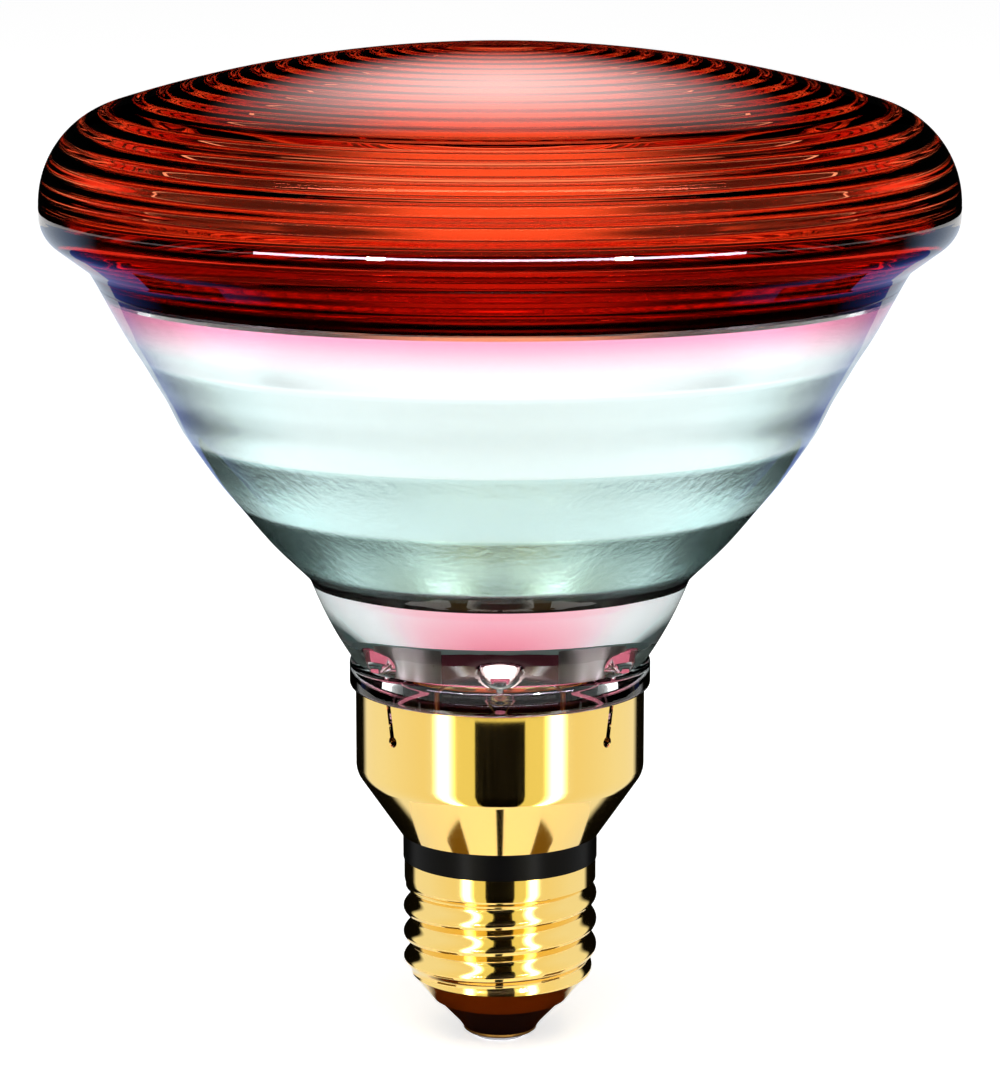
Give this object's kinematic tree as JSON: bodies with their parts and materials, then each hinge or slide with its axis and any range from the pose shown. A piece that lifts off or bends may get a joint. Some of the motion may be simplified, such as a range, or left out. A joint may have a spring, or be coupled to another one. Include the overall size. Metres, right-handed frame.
{
  "type": "infrared heat lamp bulb",
  "caption": "Infrared heat lamp with a ruby pressed glass lens, a mirrored glass bowl and a skirted brass screw cap.",
  "frame": {"origin": "middle of the flat solder end contact, on the lamp's axis", "axes": "+Z along the lamp's axis from the contact to the lens, -Y towards the front, where the lamp's centre lug is"},
  "size_m": [0.121, 0.121, 0.1355],
  "materials": {
    "ruby_glass": "ruby pressed glass, glossy",
    "mirrored_glass": "clear pressed glass over an aluminium mirror film",
    "clear_glass": "clear drawn glass",
    "nickel_iron": "nickel-iron, satin",
    "tungsten": "drawn tungsten wire, dull grey",
    "cap_brass": "drawn brass, polished",
    "contact_brass": "stamped brass, dull",
    "black_ring": "black moulded insulator, satin",
    "black_vitrite": "black glass insulator, glossy",
    "tin_solder": "tin solder, dull",
    "copper_lead": "copper-clad lead wire"
  },
  "bodies": {
    "root": {"front_lens": "ruby_glass", "reflector_bowl": "mirrored_glass", "ferrule_left": "nickel_iron", "ferrule_right": "nickel_iron", "lead_post_left": "nickel_iron", "lead_post_right": "nickel_iron", "bridge_rod": "clear_glass", "filament": "tungsten", "support_wire": "tungsten", "exhaust_tube": "clear_glass", "cap_skirt": "cap_brass", "insulating_ring": "black_ring", "screw_shell": "cap_brass", "base_insulator": "black_vitrite", "contact_eyelet": "contact_brass", "contact_solder": "tin_solder", "centre_lead_upper": "copper_lead", "fuse_sleeve": "clear_glass", "fuse_wire": "copper_lead", "centre_lead_lower": "copper_lead", "side_lead": "copper_lead", "side_solder": "tin_solder"}
  },
  "joints": []
}
